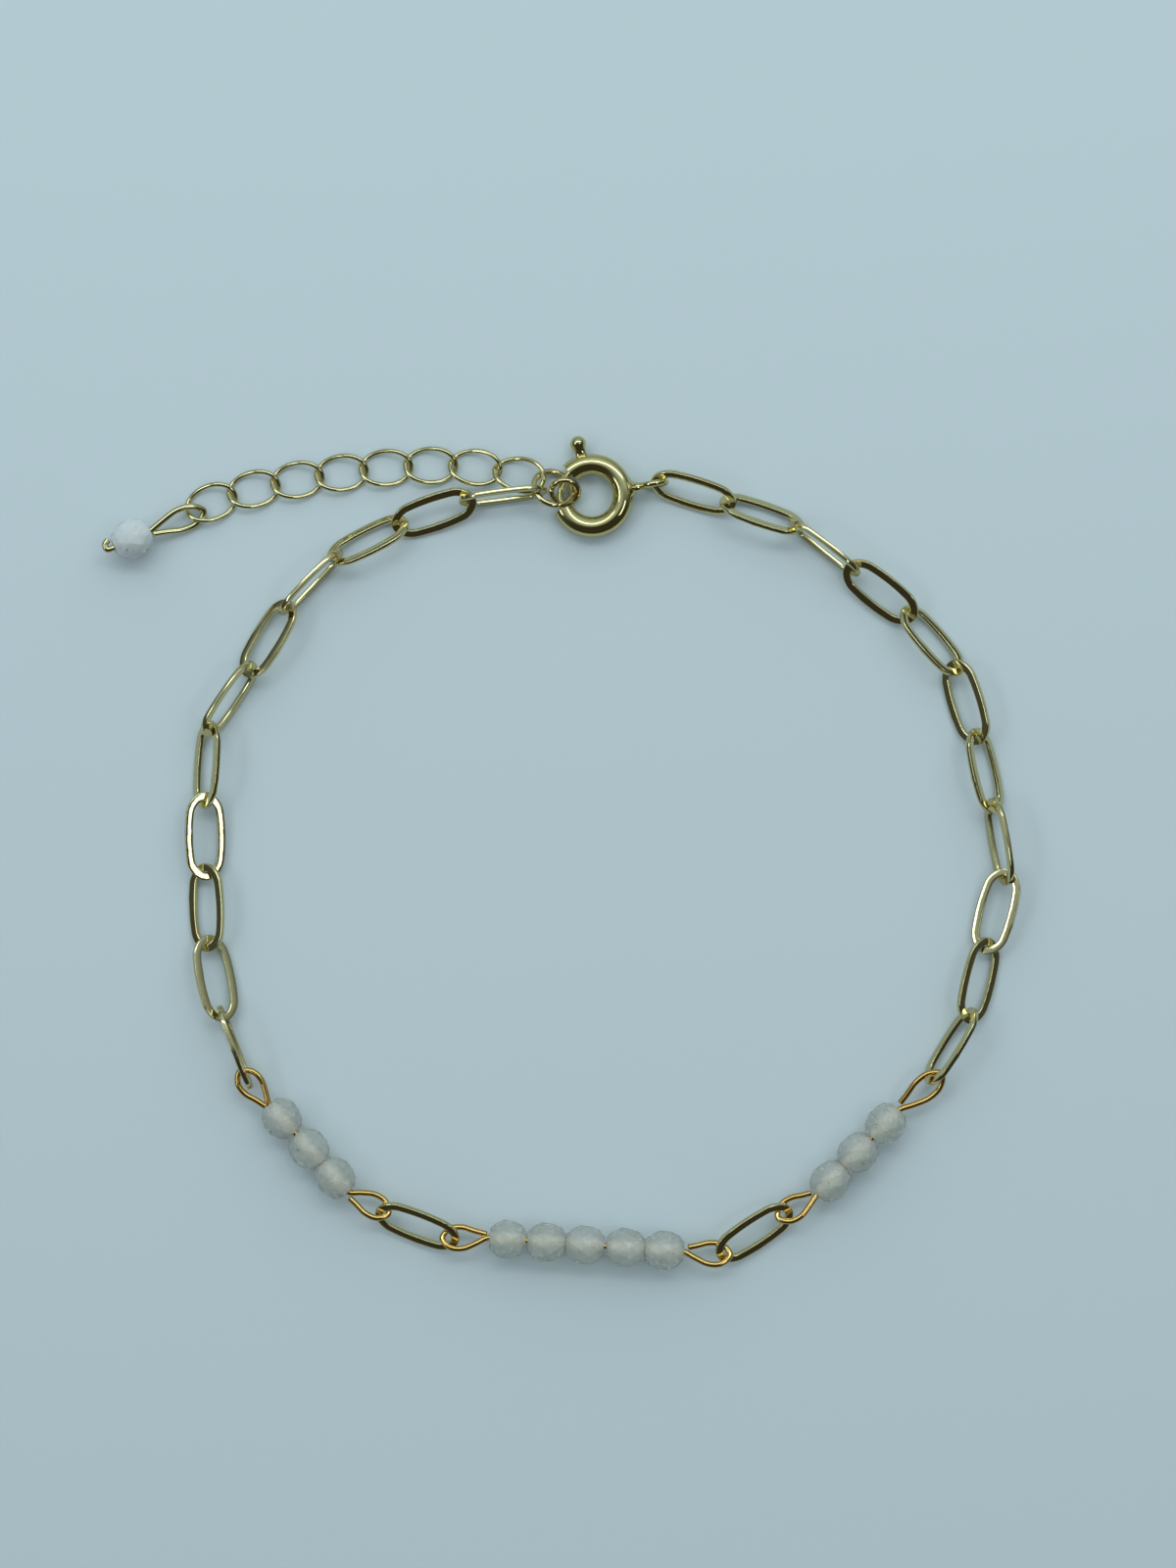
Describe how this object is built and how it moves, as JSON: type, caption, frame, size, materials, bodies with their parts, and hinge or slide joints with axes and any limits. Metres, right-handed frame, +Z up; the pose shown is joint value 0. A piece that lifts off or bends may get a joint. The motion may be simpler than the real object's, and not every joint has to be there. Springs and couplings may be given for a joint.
{
  "type": "moonstone bracelet",
  "caption": "Bracelet of paperclip links and wired bars of faceted moonstone beads, with a spring-ring clasp and an extender chain that ends in a bead, lying as a closed loop.",
  "frame": {"origin": "middle of the loop's bounding box, on the surface that the bracelet lies on", "axes": "+Z up from the surface, +Y towards the clasp, +X to the right seen from above"},
  "size_m": [0.0686, 0.0622, 0.003],
  "materials": {
    "pale_gold": "polished pale gold plating with fine wear",
    "warm_gold": "polished deeper gold plating on bent wire",
    "moonstone": "milky translucent faceted stone, soft polish",
    "white_moonstone": "whiter, more opaque milky faceted stone, soft polish"
  },
  "bodies": {
    "bracelet": {"end_bead": "white_moonstone", "end_pin": "pale_gold", "extender_link_01": "pale_gold", "extender_link_02": "pale_gold", "extender_link_03": "pale_gold", "extender_link_04": "pale_gold", "extender_link_05": "pale_gold", "extender_link_06": "pale_gold", "extender_link_07": "pale_gold", "extender_link_08": "pale_gold", "front_bead_1": "moonstone", "front_bead_2": "moonstone", "front_bead_3": "moonstone", "front_bead_4": "moonstone", "front_bead_5": "moonstone", "front_left_link": "pale_gold", "front_pin": "warm_gold", "front_right_link": "pale_gold", "jump_ring_large": "pale_gold", "jump_ring_small": "pale_gold", "left_bead_1": "moonstone", "left_bead_2": "moonstone", "left_bead_3": "moonstone", "left_link_01": "pale_gold", "left_link_02": "pale_gold", "left_link_03": "pale_gold", "left_link_04": "pale_gold", "left_link_05": "pale_gold", "left_link_06": "pale_gold", "left_link_07": "pale_gold", "left_link_08": "pale_gold", "left_link_09": "pale_gold", "left_link_10": "pale_gold", "left_link_11": "pale_gold", "left_pin": "warm_gold", "right_bead_1": "moonstone", "right_bead_2": "moonstone", "right_bead_3": "moonstone", "right_link_01": "pale_gold", "right_link_02": "pale_gold", "right_link_03": "pale_gold", "right_link_04": "pale_gold", "right_link_05": "pale_gold", "right_link_06": "pale_gold", "right_link_07": "pale_gold", "right_link_08": "pale_gold", "right_link_09": "pale_gold", "right_link_10": "pale_gold", "right_link_11": "pale_gold", "right_pin": "warm_gold", "spring_ring": "pale_gold"},
    "bolt": {"clasp_bolt": "pale_gold"}
  },
  "joints": [
    {"name": "bolt_slide_round", "type": "hinge", "parent": "bracelet", "child": "bolt", "pos_m": [0.00229, 0.02676, 0.00091], "axis": [0.055, 0.0097, -0.9984], "range_deg": [0, 68], "stiffness_Nm_per_rad": 0.0002}
  ]
}
